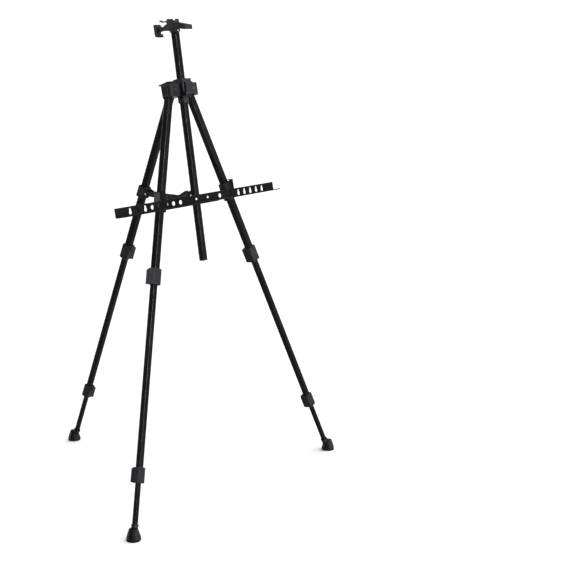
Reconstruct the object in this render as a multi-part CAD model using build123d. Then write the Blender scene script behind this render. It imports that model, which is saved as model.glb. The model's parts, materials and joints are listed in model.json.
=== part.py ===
"""Tripod field easel: three telescoping legs, a sliding mast with a canvas clamp, and a lift-off tray.

Millimetres, +Z up, +X to the painter's right, -Y towards the painter.
The origin is on the floor, at the middle of the three feet's outline.
"""
from build123d import *
from math import cos, radians, tan
import os

# ---- driving dimensions -------------------------------------------------------------------------
HEAD_HEIGHT = 910.0          # floor to the point where the leg lines meet the head
FRAME_SHIFT_Y = -106.26      # from the front leg plane at the head to the middle of the footprint
FRONT_LEAN = 10.61           # degrees that the front legs' plane leans back
FRONT_SPLAY = 18.87          # degrees from a front leg to that plane's middle line
FRONT_TOP_X = 26.5           # half the spacing of the front leg lines at the head
REAR_TOP_Y = 13.1            # rear leg line behind the front ones, at the head
REAR_SPLAY = 22.12           # degrees from the rear leg to the vertical
MAST_LEAN = 8.37             # degrees that the mast leans back
MAST_TOP_Y = -12.3           # mast line in front of the front leg lines, at the head

UPPER_SIZE = 14.8            # square tubes, outside size
MIDDLE_SIZE = 12.3
LOWER_SIZE = 9.6
MAST_SIZE = 14.0
TUBE_WALL = 1.0
LOWER_WALL = 0.9
SLIDE_GAP = 0.3              # all round, between sliding tubes and what they slide in
CORNER = 1.8                 # outside corner radius of the tubes

PIVOT_DROP = 9.0             # along the leg, from the leg's top point to its pivot
FRONT_LENGTH = HEAD_HEIGHT / cos(radians(FRONT_LEAN)) / cos(radians(FRONT_SPLAY))
REAR_LENGTH = HEAD_HEIGHT / cos(radians(REAR_SPLAY))
LEG_LENGTH = {"front_left": FRONT_LENGTH, "front_right": FRONT_LENGTH, "rear": REAR_LENGTH}
UPPER_LOCK_AT = 423.9        # along the leg, from the leg's top point to the upper lock's middle
LOWER_LOCK_AT = {"front_left": 845.3, "front_right": 831.7, "rear": 827.7}
MIDDLE_LENGTH = 447.0        # top of the middle tube to the lower lock's middle
LOWER_LENGTH = 422.0         # top of the lower tube to the foot's base

MAST_ABOVE = 144.2           # mast ends above and below the head point
MAST_BELOW = 389.4

TRAY_HALF = 261.0
TRAY_BOTTOM = 264.0          # down the front leg plane from the leg line tops to the tray's underside
TRAY_HEIGHT = 20.8
TRAY_DEPTH = 24.2
TRAY_OFFSET = 12.8           # tray's back face in front of the legs' middle plane
SHEET = 1.2

PIN_R = 3.0
RUNNING = 0.05               # radial clearance of a part that turns on a pin
LEVER_PIN_R = 1.25

PARTS = {}


def keep(name, *shapes):
    """Store the solids of one sub-part, already in place."""
    PARTS[name] = shapes[0] if len(shapes) == 1 else Compound(children=list(shapes))


def box(x, y, z):
    """A box from its (low, high) pairs."""
    size = [high - low for low, high in (x, y, z)]
    middle = [(high + low) / 2 for low, high in (x, y, z)]
    return Pos(*middle) * Box(*size)


def soft_box(x, y, z, radius, axis=None):
    """A box with rounded edges: all of them, or only those along one axis."""
    solid = box(x, y, z)
    edges = solid.edges() if axis is None else solid.edges().filter_by(axis)
    return fillet(edges, radius)


def square_tube(size, high, low, wall=TUBE_WALL):
    """A square tube with rounded corners along Z."""
    outer = soft_box((-size / 2, size / 2), (-size / 2, size / 2), (low, high), CORNER, Axis.Z)
    inner_half = size / 2 - wall
    inner = soft_box((-inner_half, inner_half), (-inner_half, inner_half), (low - 1, high + 1),
                     CORNER - wall, Axis.Z)
    return outer - inner


def square_bore(size, high, low):
    """The space that a square tube of that outside size takes."""
    return soft_box((-size / 2, size / 2), (-size / 2, size / 2), (low, high), CORNER, Axis.Z)


def rod(radius, length, axis="Z"):
    """A round rod centred on the origin, along X, Y or Z."""
    turn = {"X": (0, 90, 0), "Y": (90, 0, 0), "Z": (0, 0, 0)}[axis]
    return Rot(*turn) * Cylinder(radius, length)


# ---- frames: X right, Y back, Z up along the piece --------------------------------------------------
FRONT = Location((0, FRAME_SHIFT_Y, HEAD_HEIGHT)) * Location((0, 0, 0), (-FRONT_LEAN, 0, 0))
MAST = (Location((0, FRAME_SHIFT_Y + MAST_TOP_Y, HEAD_HEIGHT))
        * Location((0, 0, 0), (-MAST_LEAN, 0, 0)))
LEGS = {
    "front_left": FRONT * Location((-FRONT_TOP_X, 0, 0)) * Location((0, 0, 0), (0, FRONT_SPLAY, 0)),
    "front_right": FRONT * Location((FRONT_TOP_X, 0, 0)) * Location((0, 0, 0), (0, -FRONT_SPLAY, 0)),
    "rear": (Location((0, FRAME_SHIFT_Y + REAR_TOP_Y, HEAD_HEIGHT))
             * Location((0, 0, 0), (REAR_SPLAY, 0, 0))),
}
REAR_FOLD = 27.0             # degrees that the rear leg folds forward

# ---- flip locks ------------------------------------------------------------------------------------
UPPER_LOCK = {"width": 23.0, "front": 9.4, "height": 36.0, "outer": UPPER_SIZE, "inner": MIDDLE_SIZE}
LOWER_LOCK = {"width": 20.2, "front": 8.4, "height": 33.0, "outer": MIDDLE_SIZE, "inner": LOWER_SIZE}
CHEEK = 2.8                  # side cheeks that the lever folds between
CHEEK_RISE = 4.8
LEVER_THICK = 4.2
LEVER_GAP = 0.4
LEVER_RIBS = 3
LIP = 3.2                    # finger lip at the lever's free end
BAND_DEPTH = 0.7             # shallow band that runs round the housing under its rim
BAND_DROP = 4.2
SEAT_DROP = 10.0             # outer tube's end below the lock's middle


def lock_pieces(lock, middle_z, side):
    """Housing, lever and lever pin of one flip lock; side is +1 for a lever at the back."""
    half = lock["width"] / 2
    front = lock["front"]
    top = middle_z + lock["height"] / 2
    low = middle_z - lock["height"] / 2
    housing = soft_box((-half, half), (-front, front), (low, top), 1.2)
    band_z = (top - BAND_DROP, top - BAND_DROP + 1.2)
    band = box((-half - 1, half + 1), (-front - 1, front + 1), band_z)
    housing -= band - box((BAND_DEPTH - half, half - BAND_DEPTH), (BAND_DEPTH - front, front + 2), band_z)
    cheek_y = (front - 2.0, front + CHEEK_RISE)
    for sign in (-1, 1):
        cheek_x = sorted((sign * (half - CHEEK), sign * half))
        housing += soft_box(cheek_x, cheek_y, (low + 1.0, top - 3.0), 1.0, Axis.X)
        flute_x = sorted((sign * (half - BAND_DEPTH), sign * (half + 1)))
        housing -= box(flute_x, (front - 3.2, front - 1.8), (low + 3, top - 7))
    seat_end = middle_z - SEAT_DROP
    housing -= square_bore(lock["outer"], top + 5, seat_end)
    housing -= square_bore(lock["inner"] + 2 * SLIDE_GAP, seat_end + 1, low - 1)
    pin_y = front + LEVER_GAP + LEVER_THICK / 2
    pin_z = low + 4.6
    pin = Pos(0, pin_y, pin_z) * rod(LEVER_PIN_R, lock["width"] - 0.6, "X")
    housing -= pin
    lever_half = half - CHEEK - LEVER_GAP
    lever_y = (front + LEVER_GAP, front + LEVER_GAP + LEVER_THICK)
    lever_top = top - 1.0
    lever = soft_box((-lever_half, lever_half), lever_y, (pin_z, lever_top), 1.2, Axis.Y)
    lever += Pos(0, pin_y, pin_z) * rod(LEVER_THICK / 2, 2 * lever_half, "X")
    lip_z = (lever_top - 4.5, lever_top - 1)
    lip = box((-lever_half + 1, lever_half - 1), (lever_y[1] - 1.5, lever_y[1] + LIP), lip_z)
    lever += fillet(lip.edges().filter_by(Axis.X), 1.2)
    for rib in range(LEVER_RIBS):
        rib_z = middle_z - 1 + rib * 3.4
        rib_y = (lever_y[1] - 0.5, lever_y[1] + 0.7)
        lever += box((-lever_half + 2, lever_half - 2), rib_y, (rib_z, rib_z + 1.3))
    lever -= Pos(0, pin_y, pin_z) * rod(LEVER_PIN_R + RUNNING, lock["width"] + 2, "X")
    pieces = [housing, lever, pin]
    return pieces if side > 0 else [piece.mirror(Plane.XZ) for piece in pieces]


# ---- legs ------------------------------------------------------------------------------------------
FOOT_BASE_R = 15.6
FOOT_TOP_R = 9.8
FOOT_HEIGHT = 25.0
FERRULE_R = 7.0
FERRULE_RIM_R = 8.2
FERRULE_SINK = 8.0           # ferrule's length under its rim, inside the foot
EYE_R = 8.6
EYE_THICK = 12.0
NECK_DROP = 18.0             # along the leg, from the leg's top point to the end of its tube


def top_fitting(axis):
    """Plug in the tube's top with the eye that the leg swings on."""
    plug_size = UPPER_SIZE - 2 * TUBE_WALL
    plug = soft_box((-plug_size / 2, plug_size / 2), (-plug_size / 2, plug_size / 2),
                    (-NECK_DROP - 16, -NECK_DROP + 1), CORNER - TUBE_WALL, Axis.Z)
    half = EYE_THICK / 2
    if axis == "Y":
        neck = box((-7, 7), (-half, half), (-NECK_DROP, -PIVOT_DROP))
    else:
        neck = box((-half, half), (-7, 7), (-NECK_DROP, -PIVOT_DROP))
    eye = Pos(0, 0, -PIVOT_DROP) * rod(EYE_R, EYE_THICK, axis)
    return plug + neck + eye - Pos(0, 0, -PIVOT_DROP) * rod(PIN_R + RUNNING, EYE_THICK + 2, axis)


def foot_pieces(frame, leg_end):
    """Ferrule on the tube, and the rubber foot, which stands level on the floor."""
    rim_z = leg_end + FOOT_HEIGHT + 5.2
    sleeve = Pos(0, 0, rim_z) * Cylinder(FERRULE_RIM_R, 3.0)
    sleeve += Pos(0, 0, rim_z - 0.5 - FERRULE_SINK / 2) * Cylinder(FERRULE_R, FERRULE_SINK)
    ferrule = sleeve - square_bore(LOWER_SIZE, rim_z + 10, rim_z - 20)
    floor_point = (frame * Location((0, 0, leg_end))).position
    with BuildPart() as bell:
        with BuildSketch(Plane.XZ):
            with BuildLine():
                Polyline((0, 0), (FOOT_BASE_R - 1.5, 0), (FOOT_BASE_R, 2.0), (FOOT_BASE_R, 4.5))
                Spline((FOOT_BASE_R, 4.5), (FOOT_BASE_R - 2.4, 14.0), (FOOT_TOP_R, FOOT_HEIGHT - 1.5),
                       tangents=[(-0.08, 1), (-0.35, 1)])
                Polyline((FOOT_TOP_R, FOOT_HEIGHT - 1.5), (FOOT_TOP_R - 1.5, FOOT_HEIGHT), (0, FOOT_HEIGHT),
                         (0, 0))
            make_face()
        revolve(axis=Axis.Z)
    foot = Location((floor_point.X, floor_point.Y, 0)) * bell.part
    pocket = square_bore(LOWER_SIZE, leg_end + 60, leg_end + 8)
    return ferrule, foot - frame * (pocket + sleeve)


def build_leg(name):
    frame = LEGS[name]
    hinge_axis = "X" if name == "rear" else "Y"
    lever_side = -1 if name == "rear" else 1
    upper_z = -UPPER_LOCK_AT
    lower_z = -LOWER_LOCK_AT[name]
    leg_end = -LEG_LENGTH[name]
    middle_top = lower_z + MIDDLE_LENGTH
    lower_top = leg_end + LOWER_LENGTH
    keep(name + "_top_fitting", frame * top_fitting(hinge_axis))
    keep(name + "_upper_tube", frame * square_tube(UPPER_SIZE, -NECK_DROP, upper_z - SEAT_DROP))
    keep(name + "_middle_tube", frame * square_tube(MIDDLE_SIZE, middle_top, lower_z - SEAT_DROP))
    keep(name + "_lower_tube", frame * square_tube(LOWER_SIZE, lower_top, leg_end + 8, LOWER_WALL))
    for level, lock, at in (("upper", UPPER_LOCK, upper_z), ("lower", LOWER_LOCK, lower_z)):
        housing, lever, pin = lock_pieces(lock, at, lever_side)
        keep(f"{name}_{level}_lock", frame * housing)
        keep(f"{name}_{level}_lever", frame * lever)
        keep(f"{name}_{level}_lever_pin", frame * pin)
    ferrule, foot = foot_pieces(frame, leg_end)
    keep(name + "_ferrule", frame * ferrule)
    keep(name + "_rubber_foot", foot)


# ---- head ------------------------------------------------------------------------------------------
HEAD_HALF = 43.6
HEAD_FRONT = -18.9           # in the front legs' plane frame
HEAD_SPLIT = 10.5            # where the rear leg's yoke meets the head's front casting
HEAD_TOP = 4.5
HEAD_LOW = -24.0
BOSS_HALF = 14.5
BOSS_FRONT = -17.5           # in the mast's frame
BOSS_TOP = 15.5
BUSH_SIZE = 18.0
BUSH_LOW = -37.0
YOKE_HALF = 17.0
YOKE_BACK = 35.5
YOKE_TOP = 6.0
BROW_FRONT_TOP = 12.5        # sloping roof over the yoke
BROW_BACK_TOP = 8.0
BROW_THICK = 2.5
PANEL_GROOVES = 5            # short grooves at each end of the head's front face
PANEL_GROOVE_PITCH = 4.8
GROOVE_TALL = 1.5
GROOVE_DEEP = 1.0
SIDE_FLUTES = (-14.0, -6.5, 1.0)
PIVOT_BOSS_R = 4.8
PIVOT_HEAD_R = 3.4
PIVOT_HEAD_THICK = 1.3
YOKE_SCREW_X = 12.8


def leg_sweep(frame, axis, angles, slot):
    """The space that a leg's eye, neck and tube sweep as the leg folds."""
    eye = Pos(0, 0, -PIVOT_DROP) * rod(EYE_R + 0.6, slot, axis)
    swept = frame * eye
    wide = UPPER_SIZE / 2 + 0.7
    for angle in angles:
        turn = (angle, 0, 0) if axis == "X" else (0, angle, 0)
        leg = Pos(0, 0, -PIVOT_DROP) * Rot(*turn) * box((-wide, wide), (-wide, wide), (-40, -7.4))
        neck_half = EYE_R - 0.6
        if axis == "X":
            neck = box((-slot / 2, slot / 2), (-neck_half, neck_half), (-12, 0))
        else:
            neck = box((-neck_half, neck_half), (-slot / 2, slot / 2), (-12, 0))
        swept += frame * leg + frame * (Pos(0, 0, -PIVOT_DROP) * Rot(*turn) * neck)
    return swept


def pivot_boss(name):
    """Flat round land on the head's front face, round a front leg's pivot."""
    return LEGS[name] * (Pos(0, HEAD_FRONT + 1.0, -PIVOT_DROP) * rod(PIVOT_BOSS_R, 2.0, "Y"))


def head_front():
    """The head's front casting before its slots: a grooved panel with the mast's boss in the middle."""
    casting = FRONT * soft_box((-HEAD_HALF, HEAD_HALF), (HEAD_FRONT, HEAD_SPLIT), (HEAD_LOW, HEAD_TOP), 2.2)
    for sign in (-1, 1):
        for step in range(PANEL_GROOVES):
            groove_top = 1.5 - step * PANEL_GROOVE_PITCH
            casting -= FRONT * box(sorted((sign * 26, sign * 41)), (HEAD_FRONT - 1, HEAD_FRONT + GROOVE_DEEP),
                                   (groove_top - GROOVE_TALL, groove_top))
        for flute in SIDE_FLUTES:
            casting -= FRONT * box(sorted((sign * (HEAD_HALF - GROOVE_DEEP), sign * (HEAD_HALF + 1))),
                                   (flute, flute + 4.5), (-19, 0))
    casting += MAST * soft_box((-BOSS_HALF, BOSS_HALF), (BOSS_FRONT, 12), (-22.5, BOSS_TOP), 2.0, Axis.Z)
    for sign in (-1, 1):
        for step in range(4):
            rib_z = -15 + step * 5.2
            casting += MAST * box(sorted((sign * (BOSS_HALF - 0.5), sign * (BOSS_HALF + 0.9))), (-15.5, -8),
                                  (rib_z, rib_z + 2.2))
    casting += pivot_boss("front_left") + pivot_boss("front_right")
    return casting - FRONT * box((-80, 80), (HEAD_SPLIT, 90), (-80, 80))


def head_yoke():
    """Two cheeks round the rear leg's eye, under a roof that slopes to the back."""
    side = Polyline((HEAD_SPLIT, HEAD_LOW), (YOKE_BACK - 2, HEAD_LOW), (YOKE_BACK - 0.5, -17),
                    (YOKE_BACK, YOKE_TOP), (HEAD_SPLIT, BROW_FRONT_TOP - 1.5), close=True)
    yoke = extrude(Plane.YZ * make_face(side), YOKE_HALF, both=True)
    brow = Polyline((HEAD_SPLIT, BROW_FRONT_TOP - 4), (YOKE_BACK + 4, BROW_BACK_TOP - BROW_THICK),
                    (YOKE_BACK + 4, BROW_BACK_TOP), (HEAD_SPLIT, BROW_FRONT_TOP), close=True)
    yoke += extrude(Plane.YZ * make_face(brow), YOKE_HALF + 2.5, both=True)
    return FRONT * yoke


def build_head():
    fold_steps = [FRONT_SPLAY * step / 3 for step in range(4)]
    slot = EYE_THICK + 0.8
    sweeps = {
        "front_left": leg_sweep(LEGS["front_left"], "Y", [-angle for angle in fold_steps], slot),
        "front_right": leg_sweep(LEGS["front_right"], "Y", fold_steps, slot),
        "rear": leg_sweep(LEGS["rear"], "X", [-REAR_FOLD * step / 3 for step in range(4)], slot),
    }
    casting = head_front()
    yoke = head_yoke()
    for space in sweeps.values():
        casting -= space
        yoke -= space
    bush_space = MAST * square_bore(BUSH_SIZE, 60, -60)
    casting -= bush_space
    yoke -= bush_space
    bush = square_bore(BUSH_SIZE, BOSS_TOP + 1.0, BUSH_LOW) - square_bore(MAST_SIZE + 2 * SLIDE_GAP, 60, -60)
    front_pins = []
    for name in ("front_left", "front_right"):
        pin_back = HEAD_SPLIT - 1.5
        shank = Pos(0, (HEAD_FRONT + pin_back) / 2, -PIVOT_DROP) * rod(PIN_R, pin_back - HEAD_FRONT, "Y")
        dome = fillet(rod(PIVOT_HEAD_R, PIVOT_HEAD_THICK, "Y").edges().sort_by(Axis.Y)[0], 0.6)
        dome = Pos(0, HEAD_FRONT - PIVOT_HEAD_THICK / 2, -PIVOT_DROP) * dome
        slot_cut = Pos(0, HEAD_FRONT - PIVOT_HEAD_THICK, -PIVOT_DROP) * Box(4.6, 1.0, 0.9)
        front_pins.append(LEGS[name] * (shank + dome - slot_cut))
        casting -= LEGS[name] * shank
    keep("front_leg_pivot_pins", *front_pins)
    rear_pin = Pos(0, 0, -PIVOT_DROP) * rod(PIN_R, 2 * YOKE_HALF, "X")
    for sign in (-1, 1):
        rear_pin += Pos(sign * (YOKE_HALF + 1.0), 0, -PIVOT_DROP) * rod(4.8, 2.0, "X")
    yoke -= LEGS["rear"] * rear_pin
    keep("rear_leg_pivot_pin", LEGS["rear"] * rear_pin)
    # screws that hold the yoke to the casting
    screws = []
    for sign in (-1, 1):
        screws.append(FRONT * (Pos(sign * YOKE_SCREW_X, HEAD_SPLIT + 1.5, 1.8) * rod(1.5, 13, "Y")))
    for screw in screws:
        casting -= screw
        yoke -= screw
    keep("yoke_screws", *screws)
    keep("head_casting", casting)
    keep("rear_leg_yoke", yoke)
    keep("mast_bush", MAST * bush)
    build_mast_lock()


LOCK_LEVER_HALF = 11.5
LOCK_LEVER_Y = (-23.2, -18.9)
LOCK_LEVER_TOP = 8.0
LOCK_PIN_Y = -21.0
LOCK_PIN_Z = -17.5
LOCK_RIBS = 5


def build_mast_lock():
    """Ribbed flip lever on the front of the head that grips the mast."""
    lever_x = (-LOCK_LEVER_HALF, LOCK_LEVER_HALF)
    lever = soft_box(lever_x, LOCK_LEVER_Y, (LOCK_PIN_Z, LOCK_LEVER_TOP), 1.4, Axis.Y)
    lever += Pos(0, LOCK_PIN_Y, LOCK_PIN_Z) * rod(2.2, 2 * LOCK_LEVER_HALF, "X")
    for rib in range(LOCK_RIBS):
        rib_z = -12.6 + rib * 4.0
        rib_x = (-LOCK_LEVER_HALF + 1, LOCK_LEVER_HALF - 1)
        lever += soft_box(rib_x, (-24.4, -22.7), (rib_z, rib_z + 1.9), 0.5)
    lever -= Pos(0, LOCK_PIN_Y, LOCK_PIN_Z) * rod(LEVER_PIN_R + RUNNING, 40, "X")
    pin = Pos(0, LOCK_PIN_Y, LOCK_PIN_Z) * rod(LEVER_PIN_R, 2 * BOSS_HALF - 0.8, "X")
    for sign in (-1, 1):
        ear_x = sorted((sign * (LOCK_LEVER_HALF + 0.4), sign * BOSS_HALF))
        ear = box(ear_x, (LOCK_LEVER_Y[0], -17.0), (-22, -13))
        ear = fillet(ear.edges().filter_by(Axis.X).sort_by(Axis.Y)[0], 2.0)
        PARTS["head_casting"] += MAST * ear
    PARTS["head_casting"] -= MAST * pin
    keep("mast_lock_lever", MAST * lever)
    keep("mast_lock_pin", MAST * pin)


# ---- mast and canvas clamp ---------------------------------------------------------------------------
CLAMP_TOP = MAST_ABOVE - 1.0
MAST_TUBE_TOP = CLAMP_TOP - 19.0
BODY_LOW = CLAMP_TOP - 21.0
BODY_HALF = 10.0
BODY_FRONT = -8.0
BODY_BACK = 14.0
TAIL_BACK = 24.0             # sleeve round the jaw bar behind the body
SOCKET_HALF = 8.7            # socket that the mast's top sits in
SOCKET_LOW = CLAMP_TOP - 25.5
RIVET_Z = CLAMP_TOP - 22.2
BAR_Z = CLAMP_TOP - 14.0     # middle of the sliding jaw bar
BAR_HALF = 4.2
BAR_WIDE = 6.6               # half the bar's width
BAR_BACK = 44.0
FINGER_TIP = -42.3
GRIP_BACK = 55.0
LEAF_PIVOT_Y = 11.0
LEAF_PIVOT_Z = CLAMP_TOP + 2.6
LEAF_HALF = 4.5


def clamp_body():
    """Socket over the mast's top, a channel for the jaw bar, and ears for the thumb lever."""
    body = soft_box((-BODY_HALF, BODY_HALF), (BODY_FRONT, BODY_BACK), (BODY_LOW, CLAMP_TOP), 1.8)
    socket_x = (-SOCKET_HALF, SOCKET_HALF)
    body += soft_box(socket_x, socket_x, (SOCKET_LOW, CLAMP_TOP - 5), 1.6)
    tail = Polyline((BODY_BACK - 2, CLAMP_TOP - 4), (TAIL_BACK, BAR_Z + 5.4), (TAIL_BACK, BAR_Z - 5.4),
                    (BODY_BACK - 2, BAR_Z - 6.2), close=True)
    body += extrude(Plane.YZ * make_face(tail), BAR_WIDE + 1.5, both=True)
    body += Pos(0, LEAF_PIVOT_Y, LEAF_PIVOT_Z) * rod(2.9, 2 * LEAF_HALF + 6, "X")
    body += box((-LEAF_HALF - 3, LEAF_HALF + 3), (LEAF_PIVOT_Y - 2.9, LEAF_PIVOT_Y + 2.9),
                (CLAMP_TOP - 2, LEAF_PIVOT_Z))
    body += Pos(5, -5.2, CLAMP_TOP + 0.6) * rod(2.6, 8, "X")
    body -= square_bore(MAST_SIZE, MAST_TUBE_TOP, SOCKET_LOW - 10)
    bar_slot_z = (BAR_Z - BAR_HALF - 0.3, BAR_Z + BAR_HALF + 0.3)
    body -= box((-BAR_WIDE - 0.4, BAR_WIDE + 0.4), (-30, 30), bar_slot_z)
    body -= box((-LEAF_HALF - 0.4, LEAF_HALF + 0.4), (LEAF_PIVOT_Y - 3.6, TAIL_BACK + 1),
                (CLAMP_TOP - 0.8, CLAMP_TOP + 10))
    return body


def build_mast():
    tube = square_tube(MAST_SIZE, MAST_TUBE_TOP, -MAST_BELOW + 3)
    cap = square_bore(MAST_SIZE, -MAST_BELOW + 3, -MAST_BELOW)
    plug = MAST_SIZE / 2 - TUBE_WALL
    plug_z = (-MAST_BELOW + 2.5, -MAST_BELOW + 15)
    cap += soft_box((-plug, plug), (-plug, plug), plug_z, CORNER - TUBE_WALL, Axis.Z)
    keep("mast_end_cap", MAST * cap)
    lever_pin = Pos(0, LEAF_PIVOT_Y, LEAF_PIVOT_Z) * rod(LEVER_PIN_R, 2 * LEAF_HALF + 5, "X")
    rivet = Pos(0, 0, RIVET_Z) * rod(1.6, 2 * SOCKET_HALF, "Y")
    for sign in (-1, 1):
        rivet += Pos(0, sign * (SOCKET_HALF + 0.4), RIVET_Z) * rod(2.3, 0.8, "Y")
    keep("mast_tube", MAST * (tube - rivet))
    keep("clamp_body", MAST * (clamp_body() - lever_pin - rivet))
    keep("clamp_pins", MAST * lever_pin, MAST * rivet)
    # jaw: a bar through the body, with a grooved finger over the canvas at the front
    bar = box((-BAR_WIDE, BAR_WIDE), (-14, BAR_BACK), (BAR_Z - BAR_HALF, BAR_Z + BAR_HALF))
    finger_side = Polyline((-9.3, BAR_Z + 9), (FINGER_TIP, BAR_Z - 0.5), (FINGER_TIP, BAR_Z - 10.5),
                           (-13, BAR_Z - 4.6), (-9.3, BAR_Z - BAR_HALF), close=True)
    finger = extrude(Plane.YZ * make_face(finger_side), 11, both=True)
    finger = fillet(finger.edges().filter_by(Axis.X).sort_by(Axis.Y)[:2], 1.2)
    for sign in (-1, 1):
        finger -= box(sorted((sign * 10.2, sign * 12)), (FINGER_TIP + 3, -16), (BAR_Z - 5.2, BAR_Z - 3.6))
    keep("clamp_jaw", MAST * (bar + finger))
    # grip: a hooked finger pull on the bar's rear end
    hook_side = Polyline((BAR_BACK, BAR_Z + BAR_HALF), (50, BAR_Z + 12), (GRIP_BACK, BAR_Z + 12),
                         (GRIP_BACK - 0.6, BAR_Z - 11), (GRIP_BACK - 2.5, BAR_Z - 15), (BAR_BACK, BAR_Z - 17),
                         (BAR_BACK, BAR_Z - 9.4), (49.5, BAR_Z - 9.4), (49.5, BAR_Z - BAR_HALF),
                         (BAR_BACK, BAR_Z - BAR_HALF), close=True)
    grip = extrude(Plane.YZ * make_face(hook_side), 8.5, both=True)
    grip = fillet(grip.edges().filter_by(Axis.X).sort_by(Axis.Y)[-2:], 1.2)
    keep("clamp_grip", MAST * grip)
    # thin thumb lever that clamps the jaw bar
    leaf_side = Polyline((-1.8, -1.6), (3, -2.6), (13, -3.6), (22, -2.6), (29, 1.0), (28, 2.8), (21.5, -0.4),
                         (13, -1.2), (3, 0.6), (0, 2.2), (-1.8, 1.6), close=True)
    leaf = extrude(Plane.YZ * make_face(leaf_side), LEAF_HALF, both=True)
    leaf += rod(2.4, 2 * LEAF_HALF, "X")
    leaf -= rod(LEVER_PIN_R + RUNNING, 20, "X")
    keep("clamp_lever", MAST * (Pos(0, LEAF_PIVOT_Y, LEAF_PIVOT_Z) * leaf))


# ---- tray ------------------------------------------------------------------------------------------
TRAY_LIP = 3.4               # lip's top above the tray's underside
ROUND_HOLE_R = 4.9
TRAY_LEFT_END = 37.0         # where each half ends inside the other
TRAY_RIGHT_END = -18.0
KEYHOLES_LEFT = [-217.1 + 22.65 * step for step in range(3)]
KEYHOLES_RIGHT = [133.2 + 21.3 * step for step in range(5)]
ROUND_LEFT = [-150.9 + 22.15 * step for step in range(5)]
ROUND_RIGHT = [67.5]
RIVETS = [-13.1, 24.7]
HOLE_UP = 10.4               # hole middles above the tray's underside
CLIP_LEG_X = FRONT_TOP_X + TRAY_BOTTOM * tan(radians(FRONT_SPLAY)) - 5.0
COLLAR_TOP = 227.0           # down the front plane from the leg line tops
COLLAR_HEIGHT = 42.0


def keyhole(x, z):
    """Peg hole: a round opening with a narrower slot above it."""
    y = -TRAY_OFFSET
    hole = Pos(x, y, z - 2.4) * rod(4.4, 10, "Y")
    hole += Pos(x, y, z + 4.0) * rod(2.9, 10, "Y")
    hole += box((x - 2.9, x + 2.9), (y - 5, y + 5), (z - 2.4, z + 4.0))
    return hole


def folded_sheet(low_x, high_x, back, front, low):
    """A folded sheet: upright back, shelf to the front and a small lip at the shelf's edge."""
    top = -TRAY_BOTTOM + TRAY_HEIGHT
    lip_top = -TRAY_BOTTOM + TRAY_LIP
    side = Polyline((back, low), (back, top), (back - SHEET, top), (back - SHEET, low + SHEET),
                    (front + SHEET, low + SHEET), (front + SHEET, lip_top), (front, lip_top), (front, low),
                    close=True)
    return Pos(low_x, 0, 0) * extrude(Plane.YZ * make_face(side), high_x - low_x)


def build_tray():
    low = -TRAY_BOTTOM
    front = -TRAY_OFFSET - TRAY_DEPTH
    inner_back = -TRAY_OFFSET - SHEET
    left = folded_sheet(-TRAY_HALF, TRAY_LEFT_END, -TRAY_OFFSET, front, low)
    right = folded_sheet(TRAY_RIGHT_END, TRAY_HALF, inner_back, front + SHEET, low + SHEET)
    hole_z = low + HOLE_UP
    for x in KEYHOLES_LEFT:
        left -= keyhole(x, hole_z)
    for x in ROUND_LEFT:
        left -= Pos(x, -TRAY_OFFSET, hole_z) * rod(ROUND_HOLE_R, 10, "Y")
    for x in KEYHOLES_RIGHT:
        right -= keyhole(x, hole_z)
    for x in ROUND_RIGHT:
        right -= Pos(x, -TRAY_OFFSET, hole_z) * rod(ROUND_HOLE_R, 10, "Y")
    rivets = []
    for x in RIVETS:
        rivet = Pos(x, inner_back, hole_z + 1) * rod(1.8, 2 * SHEET, "Y")
        left -= rivet
        right -= rivet
        dome = rod(2.8, 1.4, "Y")
        dome = fillet(dome.edges().sort_by(Axis.Y)[0], 0.6)
        dome = Pos(x, inner_back - SHEET - 0.7, hole_z + 1) * dome
        rivets.append(FRONT * (rivet + dome))
    clips = []
    for sign in (-1, 1):
        back = -TRAY_OFFSET - (SHEET if sign < 0 else 2 * SHEET)
        x = sign * CLIP_LEG_X
        clip_front = back - 1.6
        lip_z = -COLLAR_TOP + 4.6
        upright = box((x - 6, x + 6), (clip_front, back), (low + 4.0, lip_z + 1.6))
        lip = box((x - 6, x + 6), (clip_front, -8.0), (lip_z, lip_z + 1.6))
        stud = rod(3.0, 1.2, "Y")
        stud = fillet(stud.edges().sort_by(Axis.Y)[0], 0.5)
        stud = Pos(x, clip_front - 0.6, hole_z + 4.0) * stud
        clip = fillet((upright + lip).edges().filter_by(Axis.X).sort_by(Axis.Z)[-2:], 0.7)
        clips.append(FRONT * (clip + stud))
    keep("tray_left_half", FRONT * left)
    keep("tray_right_half", FRONT * right)
    keep("tray_rivets", *rivets)
    keep("tray_clips", *clips)
    for name in ("front_left", "front_right"):
        along = COLLAR_TOP / cos(radians(FRONT_SPLAY))
        top = -along
        collar = soft_box((-10.8, 10.8), (-9.9, 9.9), (top - COLLAR_HEIGHT, top), 1.6)
        collar += soft_box((-8.0, 8.0), (8, 13.5), (top - 32, top - 10), 1.4)
        collar -= square_bore(UPPER_SIZE, top + 5, top - COLLAR_HEIGHT - 5)
        screw = Pos(0, 10.9, top - 21) * rod(1.6, 7, "Y")
        screw += Pos(0, 14.4, top - 21) * rod(3.4, 1.8, "Y")
        keep(name + "_tray_collar", LEGS[name] * (collar + screw))


# ---- rear brace --------------------------------------------------------------------------------------
BRACE_AT = 262.0             # along the rear leg, from its top point to the brace pin
BRACE_PIN_Y = -16.5
BRACE_REACH = 131.0          # pin to the fork's tips
FORK_GAP = 8.0               # half the gap that takes the mast
FORK_WALL = 4.0


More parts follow.
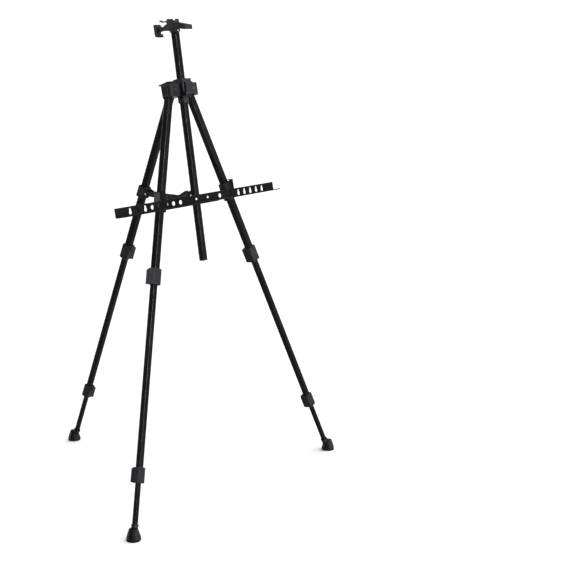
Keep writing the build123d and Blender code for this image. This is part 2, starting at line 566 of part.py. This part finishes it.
def build_brace():
    frame = LEGS["rear"]
    half = FORK_GAP + FORK_WALL
    collar = soft_box((-12.0, 12.0), (-10.2, 10.5), (-BRACE_AT - 17, -BRACE_AT + 11), 2.0)
    for sign in (-1, 1):
        ear_x = sorted((sign * 8.6, sign * 12.0))
        ear = box(ear_x, (BRACE_PIN_Y - 5.5, -8.0), (-BRACE_AT - 6, -BRACE_AT + 7))
        collar += fillet(ear.edges().filter_by(Axis.X).sort_by(Axis.Y)[:2], 3.0)
    collar -= square_bore(UPPER_SIZE, -BRACE_AT + 40, -BRACE_AT - 40)
    pin = Pos(0, BRACE_PIN_Y, -BRACE_AT) * rod(2.0, 24.0, "X")
    collar -= pin
    keep("brace_collar", frame * collar)
    keep("brace_pin", frame * pin)
    pin_point = (frame * Location((0, BRACE_PIN_Y, -BRACE_AT))).position
    side = Plane.YZ * make_face(Polyline((5, -4.2), (5, 4.2), (-12, 4.8), (-45, 3.0), (-82, 3.0), (-106, 8.5),
                                         (-124, 19.0), (-BRACE_REACH, 20.0), (-BRACE_REACH + 2, 14.5),
                                         (-112, 0.5), (-84, -6.5), (-45, -6.0), (-12, -4.4), close=True))
    arm = extrude(side, half, both=True)
    arm -= box((-FORK_GAP, FORK_GAP), (-BRACE_REACH - 5, -44), (-30, 40))
    for sign in (-1, 1):
        arm -= box(sorted((sign * 8.2, sign * (half + 1))), (-9.5, 8), (-8, 8))
    arm = fillet(arm.edges().filter_by(Axis.X).sort_by(Axis.Y)[-4:], 1.5)
    arm -= rod(2.0 + RUNNING, 40, "X")
    place = Location((pin_point.X, pin_point.Y, pin_point.Z))
    keep("brace_fork", place * arm)


for leg_name in LEGS:
    build_leg(leg_name)
build_head()
build_mast()
build_tray()
build_brace()

os.makedirs("parts", exist_ok=True)
for part_name, shape in PARTS.items():
    export_step(shape, f"parts/{part_name}.step")
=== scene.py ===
"""Looks of the tripod field easel: materials, detail pieces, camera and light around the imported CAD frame."""

import json
from math import cos, pi, radians, sin

import bmesh
import bpy
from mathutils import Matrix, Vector

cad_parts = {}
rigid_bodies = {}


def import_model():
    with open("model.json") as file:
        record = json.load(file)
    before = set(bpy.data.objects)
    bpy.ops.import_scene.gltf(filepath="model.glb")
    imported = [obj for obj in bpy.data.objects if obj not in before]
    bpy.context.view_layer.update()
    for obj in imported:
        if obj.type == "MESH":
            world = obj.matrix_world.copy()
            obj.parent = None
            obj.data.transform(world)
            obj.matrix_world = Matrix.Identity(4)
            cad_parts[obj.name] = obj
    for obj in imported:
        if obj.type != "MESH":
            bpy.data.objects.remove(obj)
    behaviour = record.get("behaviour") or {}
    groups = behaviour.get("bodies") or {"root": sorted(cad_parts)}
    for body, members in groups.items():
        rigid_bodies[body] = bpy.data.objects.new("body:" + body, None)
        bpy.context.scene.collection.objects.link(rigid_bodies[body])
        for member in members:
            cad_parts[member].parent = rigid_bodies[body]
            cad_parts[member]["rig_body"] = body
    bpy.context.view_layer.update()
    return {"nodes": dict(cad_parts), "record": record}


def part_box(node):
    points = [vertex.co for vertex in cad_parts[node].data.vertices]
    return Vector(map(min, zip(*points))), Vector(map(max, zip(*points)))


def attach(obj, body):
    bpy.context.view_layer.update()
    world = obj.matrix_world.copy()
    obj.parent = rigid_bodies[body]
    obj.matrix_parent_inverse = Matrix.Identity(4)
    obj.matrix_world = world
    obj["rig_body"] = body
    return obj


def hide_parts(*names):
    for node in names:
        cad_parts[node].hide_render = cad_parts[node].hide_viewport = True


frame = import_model()
nodes = frame["nodes"]
scene = bpy.context.scene
LEG_NAMES = ("front_left", "front_right", "rear")


# ---- node helpers -----------------------------------------------------------------------------------
class Shader:
    """A material's node tree, with short calls for the nodes that the finishes share."""

    def __init__(self, name):
        self.material = bpy.data.materials.new(name)
        self.material.use_nodes = True
        self.tree = self.material.node_tree
        self.surface = self.tree.nodes["Principled BSDF"]
        self.place = self.add("ShaderNodeTexCoord").outputs["Object"]

    def add(self, kind, **settings):
        node = self.tree.nodes.new(kind)
        for key, value in settings.items():
            setattr(node, key, value)
        return node

    def link(self, source, target):
        self.tree.links.new(source, target)

    def noise(self, scale, detail=4.0, rough=0.55, stretch=None):
        """Noise that is finer across than along when stretch squeezes an axis."""
        node = self.add("ShaderNodeTexNoise")
        node.inputs["Scale"].default_value = scale
        node.inputs["Detail"].default_value = detail
        node.inputs["Roughness"].default_value = rough
        source = self.place
        if stretch:
            mapping = self.add("ShaderNodeMapping")
            mapping.inputs["Scale"].default_value = stretch
            self.link(self.place, mapping.inputs["Vector"])
            source = mapping.outputs["Vector"]
        self.link(source, node.inputs["Vector"])
        return node.outputs["Fac"]

    def cells(self, scale):
        node = self.add("ShaderNodeTexVoronoi")
        node.inputs["Scale"].default_value = scale
        self.link(self.place, node.inputs["Vector"])
        return node.outputs["Distance"]

    def ramp(self, source, *stops):
        """A colour ramp from (position, grey or colour) stops."""
        node = self.add("ShaderNodeValToRGB")
        elements = node.color_ramp.elements
        while len(elements) < len(stops):
            elements.new(0.5)
        for element, (position, value) in zip(elements, stops):
            element.position = position
            element.color = (*value, 1) if isinstance(value, tuple) else (value, value, value, 1)
        self.link(source, node.inputs["Fac"])
        return node.outputs["Color"]

    def mix(self, amount, low, high):
        """Mixes two colours; amount is a number or an output."""
        node = self.add("ShaderNodeMix", data_type="RGBA")
        for socket, value in ((node.inputs["Factor"], amount), (node.inputs[6], low), (node.inputs[7], high)):
            if isinstance(value, bpy.types.NodeSocket):
                self.link(value, socket)
            elif isinstance(value, tuple):
                socket.default_value = (*value, 1)
            else:
                socket.default_value = value
        return node.outputs[2]

    def math(self, operation, first, second):
        node = self.add("ShaderNodeMath", operation=operation)
        for socket, value in zip(node.inputs, (first, second)):
            if isinstance(value, bpy.types.NodeSocket):
                self.link(value, socket)
            else:
                socket.default_value = value
        return node.outputs[0]

    def edges(self, radius):
        """0 on flats, rising to 1 on edges: how far a bevelled normal leaves the true one."""
        bevel = self.add("ShaderNodeBevel", samples=6)
        bevel.inputs["Radius"].default_value = radius
        geometry = self.add("ShaderNodeNewGeometry")
        dot = self.add("ShaderNodeVectorMath", operation="DOT_PRODUCT")
        self.link(bevel.outputs["Normal"], dot.inputs[0])
        self.link(geometry.outputs["Normal"], dot.inputs[1])
        return self.math("SUBTRACT", 1.0, dot.outputs["Value"])

    def bump(self, *layers, round_edges=0.0):
        """Stacks (height output, strength, distance) bumps on an optionally rounded normal."""
        normal = None
        if round_edges:
            bevel = self.add("ShaderNodeBevel", samples=6)
            bevel.inputs["Radius"].default_value = round_edges
            normal = bevel.outputs["Normal"]
        for height, strength, distance in layers:
            node = self.add("ShaderNodeBump")
            node.inputs["Strength"].default_value = strength
            node.inputs["Distance"].default_value = distance
            self.link(height, node.inputs["Height"])
            if normal:
                self.link(normal, node.inputs["Normal"])
            normal = node.outputs["Normal"]
        self.link(normal, self.surface.inputs["Normal"])

    def finish(self, color, rough, metallic=0.0, **plain):
        for name, value in (("Base Color", color), ("Roughness", rough)):
            self.link(value, self.surface.inputs[name])
        self.surface.inputs["Metallic"].default_value = metallic
        for name, value in plain.items():
            self.surface.inputs[name.replace("_", " ")].default_value = value
        return self.material


# ---- materials --------------------------------------------------------------------------------------
def gloss_black_tube():
    """Powder-coated aluminium: deep black, glossy, faint orange peel, rubbed bright at the corners."""
    s = Shader("gloss_black_tube")
    peel = s.noise(420, 3)
    draw = s.noise(90, 5, stretch=(1, 1, 0.05))
    cloud = s.noise(9, 3)
    rub = s.ramp(s.math("MULTIPLY", s.edges(0.0006), s.noise(60, 5)), (0.04, 0.0), (0.26, 1.0))
    base = s.ramp(cloud, (0.3, (0.0010, 0.0010, 0.0012)), (0.7, (0.0024, 0.0024, 0.0028)))
    dust = s.ramp(s.noise(260, 6, 0.7), (0.62, 0.0), (0.80, 1.0))
    dusty = s.mix(s.math("MULTIPLY", dust, 0.02), base, (0.09, 0.09, 0.095))
    color = s.mix(s.math("MULTIPLY", rub, 0.06), dusty, (0.16, 0.16, 0.17))
    rough = s.ramp(s.math("ADD", s.math("MULTIPLY", draw, 0.6), s.math("MULTIPLY", cloud, 0.4)),
                   (0.3, 0.13), (0.7, 0.21))
    s.bump((draw, 0.10, 0.0002), (peel, 0.14, 0.0002), round_edges=0.0005)
    return s.finish(color, rough, Specular_IOR_Level=0.04)


def satin_black_sheet():
    """Painted folded steel sheet: satin black with fine peel and scuffs along the rims of the holes."""
    s = Shader("satin_black_sheet")
    peel = s.noise(700, 3)
    cloud = s.noise(14, 4)
    scuff = s.ramp(s.noise(48, 7, 0.7, stretch=(0.25, 1, 1)), (0.60, 0.0), (0.78, 1.0))
    rub = s.ramp(s.math("MULTIPLY", s.edges(0.0007), s.noise(140, 5)), (0.05, 0.0), (0.3, 1.0))
    base = s.ramp(cloud, (0.3, (0.0010, 0.0010, 0.0012)), (0.7, (0.0022, 0.0022, 0.0026)))
    scuffed = s.mix(s.math("MULTIPLY", scuff, 0.05), base, (0.05, 0.05, 0.055))
    color = s.mix(s.math("MULTIPLY", rub, 0.3), scuffed, (0.22, 0.22, 0.23))
    rough = s.ramp(cloud, (0.3, 0.34), (0.7, 0.50))
    s.bump((peel, 0.18, 0.0002), round_edges=0.0004)
    return s.finish(color, rough, Specular_IOR_Level=0.008)


def moulded_plastic(name, tone, gloss):
    """Spark-textured nylon with a slightly blue black, worn smooth and paler along its edges."""
    s = Shader(name)
    grain = s.cells(1500)
    pits = s.noise(900, 4)
    flow = s.noise(30, 4, stretch=(1, 1, 0.35))
    rub = s.ramp(s.math("MULTIPLY", s.edges(0.0010), s.noise(110, 5)), (0.04, 0.0), (0.3, 1.0))
    low = tuple(0.78 * value for value in tone)
    high = tuple(1.22 * value for value in tone)
    base = s.ramp(flow, (0.3, low), (0.7, high))
    color = s.mix(s.math("MULTIPLY", rub, 0.5), base, tuple(3.2 * value for value in tone))
    rough = s.ramp(s.noise(55, 4), (0.3, gloss), (0.7, gloss + 0.14))
    s.bump((pits, 0.25, 0.0002), (grain, 0.22, 0.00015), round_edges=0.0006)
    return s.finish(color, rough, Specular_IOR_Level=0.06)


def foot_rubber():
    """Soft black rubber: matt, with pale dust in its texture and scuffs near the floor."""
    s = Shader("foot_rubber")
    grain = s.noise(1100, 5, 0.65)
    cloud = s.noise(70, 5)
    position = s.add("ShaderNodeSeparateXYZ")
    s.link(s.place, position.inputs[0])
    near_floor = s.ramp(position.outputs["Z"], (0.0, 1.0), (0.012, 0.0))
    dust = s.math("MULTIPLY", near_floor, s.ramp(cloud, (0.35, 0.15), (0.75, 0.9)))
    base = s.ramp(cloud, (0.3, (0.0009, 0.0009, 0.0011)), (0.7, (0.0022, 0.0022, 0.0026)))
    color = s.mix(s.math("MULTIPLY", dust, 0.03), base, (0.09, 0.086, 0.082))
    rough = s.ramp(cloud, (0.3, 0.34), (0.7, 0.5))
    s.bump((cloud, 0.1, 0.0005), (grain, 0.35, 0.0002), round_edges=0.0006)
    return s.finish(color, rough, Specular_IOR_Level=0.06)


def steel(name, tone, gloss):
    """Turned steel fasteners with fine scratches."""
    s = Shader(name)
    scratch = s.noise(500, 6, 0.7, stretch=(1, 0.2, 1))
    cloud = s.noise(220, 4)
    color = s.ramp(cloud, (0.3, tuple(0.8 * value for value in tone)), (0.7, tone))
    rough = s.ramp(scratch, (0.3, gloss), (0.7, gloss + 0.16))
    s.bump((scratch, 0.12, 0.0001), round_edges=0.0003)
    return s.finish(color, rough, metallic=1.0)


FINISHES = {
    "black_anodised_tube": gloss_black_tube(),
    "black_painted_sheet": satin_black_sheet(),
    "moulded_plastic": moulded_plastic("moulded_plastic", (0.0038, 0.0038, 0.0050), 0.30),
    "lever_plastic": moulded_plastic("lever_plastic", (0.0050, 0.0050, 0.0064), 0.27),
    "rubber": foot_rubber(),
    "bright_steel": steel("bright_steel", (0.36, 0.36, 0.38), 0.28),
}
BLACKENED = steel("blackened_steel", (0.018, 0.018, 0.020), 0.42)
# Darker plastic for the listed mouldings; on the mast bush it is painted shade, standing in for the shadow
# under the boss.
DARK_PLASTIC_AND_SHADE = moulded_plastic("dark_plastic_and_shade", (0.0016, 0.0016, 0.0021), 0.40)
DARK_PINS = ("front_leg_pivot_pins", "mast_lock_pin")
DARK_MOULDINGS = ("mast_bush", "brace_collar", "brace_fork",
                  "front_left_tray_collar", "front_right_tray_collar")
slots = {entry["node"]: entry["material_slot"] for entry in frame["record"]["subparts"]}


def finish_of(name):
    """The slot's finish, or a darker one for the blackened pins and the listed mouldings; on the mast bush the
    darker plastic is painted shade under the boss.
    """
    if name in DARK_PINS or name.endswith("_lever_pin"):
        return BLACKENED
    if name in DARK_MOULDINGS:
        return DARK_PLASTIC_AND_SHADE
    return FINISHES[slots[name]]


for node_name, node in nodes.items():
    node.data.materials.clear()
    node.data.materials.append(finish_of(node_name))


# ---- round meshes -------------------------------------------------------------------------------------
def round_loop(shape, middle, reaches, height):
    """A ring of vertices round middle, one for each reach."""
    loop = []
    for column, reach in enumerate(reaches):
        angle = 2 * pi * column / len(reaches)
        loop.append(shape.verts.new((middle.x + reach * cos(angle), middle.y + reach * sin(angle), height)))
    return loop


def join_loops(shape, loops):
    """Smooth faces between each ring and the next, facing outward when the rings go upward."""
    for lower, upper in zip(loops, loops[1:]):
        for column in range(len(lower)):
            after = (column + 1) % len(lower)
            shape.faces.new((lower[column], lower[after], upper[after], upper[column])).smooth = True


def add_object(name, shape):
    mesh = bpy.data.meshes.new(name)
    shape.to_mesh(mesh)
    shape.free()
    made = bpy.data.objects.new(name, mesh)
    scene.collection.objects.link(made)
    return made


# ---- rubber feet --------------------------------------------------------------------------------------
MM = 0.001
FOOT_TREAD = 4.6 * MM        # height of the notched tread round the base
FOOT_TOP_RATIO = 0.63        # top radius over base radius
FOOT_RIM = 1.3 * MM          # rounding of the base and top rims
FOOT_RIBS = 4                # rings round the bell
RIB_DEPTH = 1.3 * MM
FOOT_NOTCHES = 22            # round the tread
NOTCH_DEPTH = 1.0 * MM
NOTCH_STEPS = 8              # mesh columns per notch
UNDERSIDE = 1.6 * MM         # depth of the hollow under the foot
BELL_CURVE = 1.27            # 1 is a cone; more keeps the bell wide for longer
BELL_STEPS = 56              # mesh rings up the bell
RIM_STEPS = 4                # mesh rings round each rim


def foot_rings(radius, height):
    """(radius, height, notch share) of each mesh ring of a bell foot, from under its middle to over it."""
    top_radius = FOOT_TOP_RATIO * radius
    hollow = ((0.25, 1), (0.70, 1), (0.74, 0.8), (0.77, 0.1), (0.79, 0))
    rings = [(across * radius, depth * UNDERSIDE, 0) for across, depth in hollow]
    for step in range(RIM_STEPS + 1):
        turn = 0.5 * pi * step / RIM_STEPS
        rings.append((radius - FOOT_RIM * (1 - sin(turn)), FOOT_RIM * (1 - cos(turn)), step / RIM_STEPS))
    rings.append((radius, FOOT_TREAD - 0.4 * MM, 1))
    for step in range(BELL_STEPS + 1):
        share = step / BELL_STEPS
        bell = radius - (radius - top_radius) * share ** BELL_CURVE
        rib = (0.5 - 0.5 * cos(2 * pi * FOOT_RIBS * share)) ** 2
        rise = FOOT_TREAD + share * (height - FOOT_RIM - FOOT_TREAD)
        rings.append((bell - RIB_DEPTH * rib, rise, 0))
    for step in range(1, RIM_STEPS + 1):
        turn = 0.5 * pi * step / RIM_STEPS
        rings.append((top_radius - FOOT_RIM * (1 - cos(turn)), height - FOOT_RIM * (1 - sin(turn)), 0))
    rings.append((0.25 * radius, height, 0))
    return rings


def ribbed_foot(name):
    """A turned rubber bell with rings round it and a notched tread, in the place of the plain CAD foot."""
    low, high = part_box(name)
    middle = (low + high) / 2
    columns = range(FOOT_NOTCHES * NOTCH_STEPS)
    notches = [max(0.0, cos(2 * pi * column / NOTCH_STEPS)) ** 2 for column in columns]
    shape = bmesh.new()
    loops = []
    for radius, rise, notched in foot_rings((high.x - low.x) / 2, high.z - low.z):
        reaches = [radius - notched * notch * NOTCH_DEPTH for notch in notches]
        loops.append(round_loop(shape, middle, reaches, low.z + rise))
    join_loops(shape, loops)
    shape.faces.new(reversed(loops[0]))
    shape.faces.new(loops[-1])
    foot = add_object("ribbed_" + name, shape)
    foot.data.materials.append(finish_of(name))
    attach(foot, nodes[name]["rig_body"])
    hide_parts(name)


for leg_name in LEG_NAMES:
    ribbed_foot(leg_name + "_rubber_foot")


# ---- camera -------------------------------------------------------------------------------------------
CAMERA_PLACE = Vector((-2.0087, -1.9717, 1.0695))
CAMERA_TURN = 52.02          # degrees from +Y towards +X
CAMERA_DROP = 12.54          # degrees below the horizon
CAMERA_LENS = 77.44          # mm
SENSOR_WIDTH = 36.0          # mm


def add_camera():
    data = bpy.data.cameras.new("camera")
    data.lens = CAMERA_LENS
    data.sensor_width = SENSOR_WIDTH
    data.clip_end = 2 * FLOOR_REACH
    camera = bpy.data.objects.new("camera", data)
    scene.collection.objects.link(camera)
    camera.location = CAMERA_PLACE
    camera.rotation_euler = (radians(90 - CAMERA_DROP), 0, radians(-CAMERA_TURN))
    scene.camera = camera


# ---- floor and light ----------------------------------------------------------------------------------
FLOOR_FLAT = 12.0            # radius of the level floor, which curves up gently beyond it
FLOOR_REACH = 45.0
FLOOR_RISE = 11.0
FLOOR_COLUMNS = 96
FLOOR_STEPS = 24


def add_floor():
    """A level floor that sweeps up far away, so that no edge of it shows."""
    shape = bmesh.new()
    loops = []
    for step in range(FLOOR_STEPS + 1):
        share = step / FLOOR_STEPS
        reach = FLOOR_FLAT + share * (FLOOR_REACH - FLOOR_FLAT)
        loops.append(round_loop(shape, Vector((0, 0)), [reach] * FLOOR_COLUMNS, FLOOR_RISE * share ** 2))
    shape.faces.new(loops[0])
    join_loops(shape, loops[::-1])
    floor = add_object("floor", shape)
    s = Shader("pale_floor")
    cloud = s.noise(0.8, 3)
    color = s.ramp(cloud, (0.3, (0.93, 0.93, 0.93)), (0.7, (0.96, 0.96, 0.96)))
    rough = s.ramp(cloud, (0.3, 0.85), (0.7, 0.95))
    floor.data.materials.append(s.finish(color, rough, Specular_IOR_Level=0.1))
    return floor


def add_area(name, place, aim, size, power, receivers):
    data = bpy.data.lights.new(name, "AREA")
    data.shape = "RECTANGLE"
    data.size, data.size_y = size
    data.energy = power
    light = bpy.data.objects.new(name, data)
    scene.collection.objects.link(light)
    light.location = place
    light.rotation_euler = (Vector(aim) - Vector(place)).to_track_quat("-Z", "Y").to_euler()
    light.light_linking.receiver_collection = receivers


def add_sun(name, toward, angle, power):
    """A very wide soft sun that shines along toward."""
    data = bpy.data.lights.new(name, "SUN")
    data.angle = radians(angle)
    data.energy = power
    sun = bpy.data.objects.new(name, data)
    scene.collection.objects.link(sun)
    sun.rotation_euler = Vector(toward).to_track_quat("-Z", "Y").to_euler()


def all_but(floor):
    """A light-linking collection that leaves out the floor, so that narrow lights make no pools on it."""
    receivers = bpy.data.collections.new("all_but_floor")
    receivers.objects.link(floor)
    receivers.collection_objects[0].light_linking.link_state = "EXCLUDE"
    return receivers


WORLD_STRENGTH = 0.05
SUN = {"toward": (-0.3, 0.2, -1), "angle": 70, "power": 3.9}
TALL_LIGHTS = (              # name, place, height aimed at, (width, height), power in watts
    ("key_light", (0.7, -4.4, 1.8), 0.95, (0.25, 2.2), 900),
    ("edge_light", (-2.3, -3.8, 1.9), 0.85, (0.05, 2.6), 270),
    ("back_light", (-1.6, 4.2, 1.8), 0.85, (0.25, 2.2), 260),
    ("right_light", (4.2, -1.6, 1.8), 0.85, (0.25, 2.2), 120),
)


def add_light(floor):
    world = bpy.data.worlds.new("studio")
    world.use_nodes = True
    world.node_tree.nodes["Background"].inputs["Color"].default_value = (1, 1, 1, 1)
    world.node_tree.nodes["Background"].inputs["Strength"].default_value = WORLD_STRENGTH
    scene.world = world
    add_sun("soft_top", **SUN)
    receivers = all_but(floor)
    for name, place, aim_height, size, power in TALL_LIGHTS:
        add_area(name, place, (0, 0, aim_height), size, power, receivers)


scene.view_settings.view_transform = "Standard"
add_camera()
add_light(add_floor())
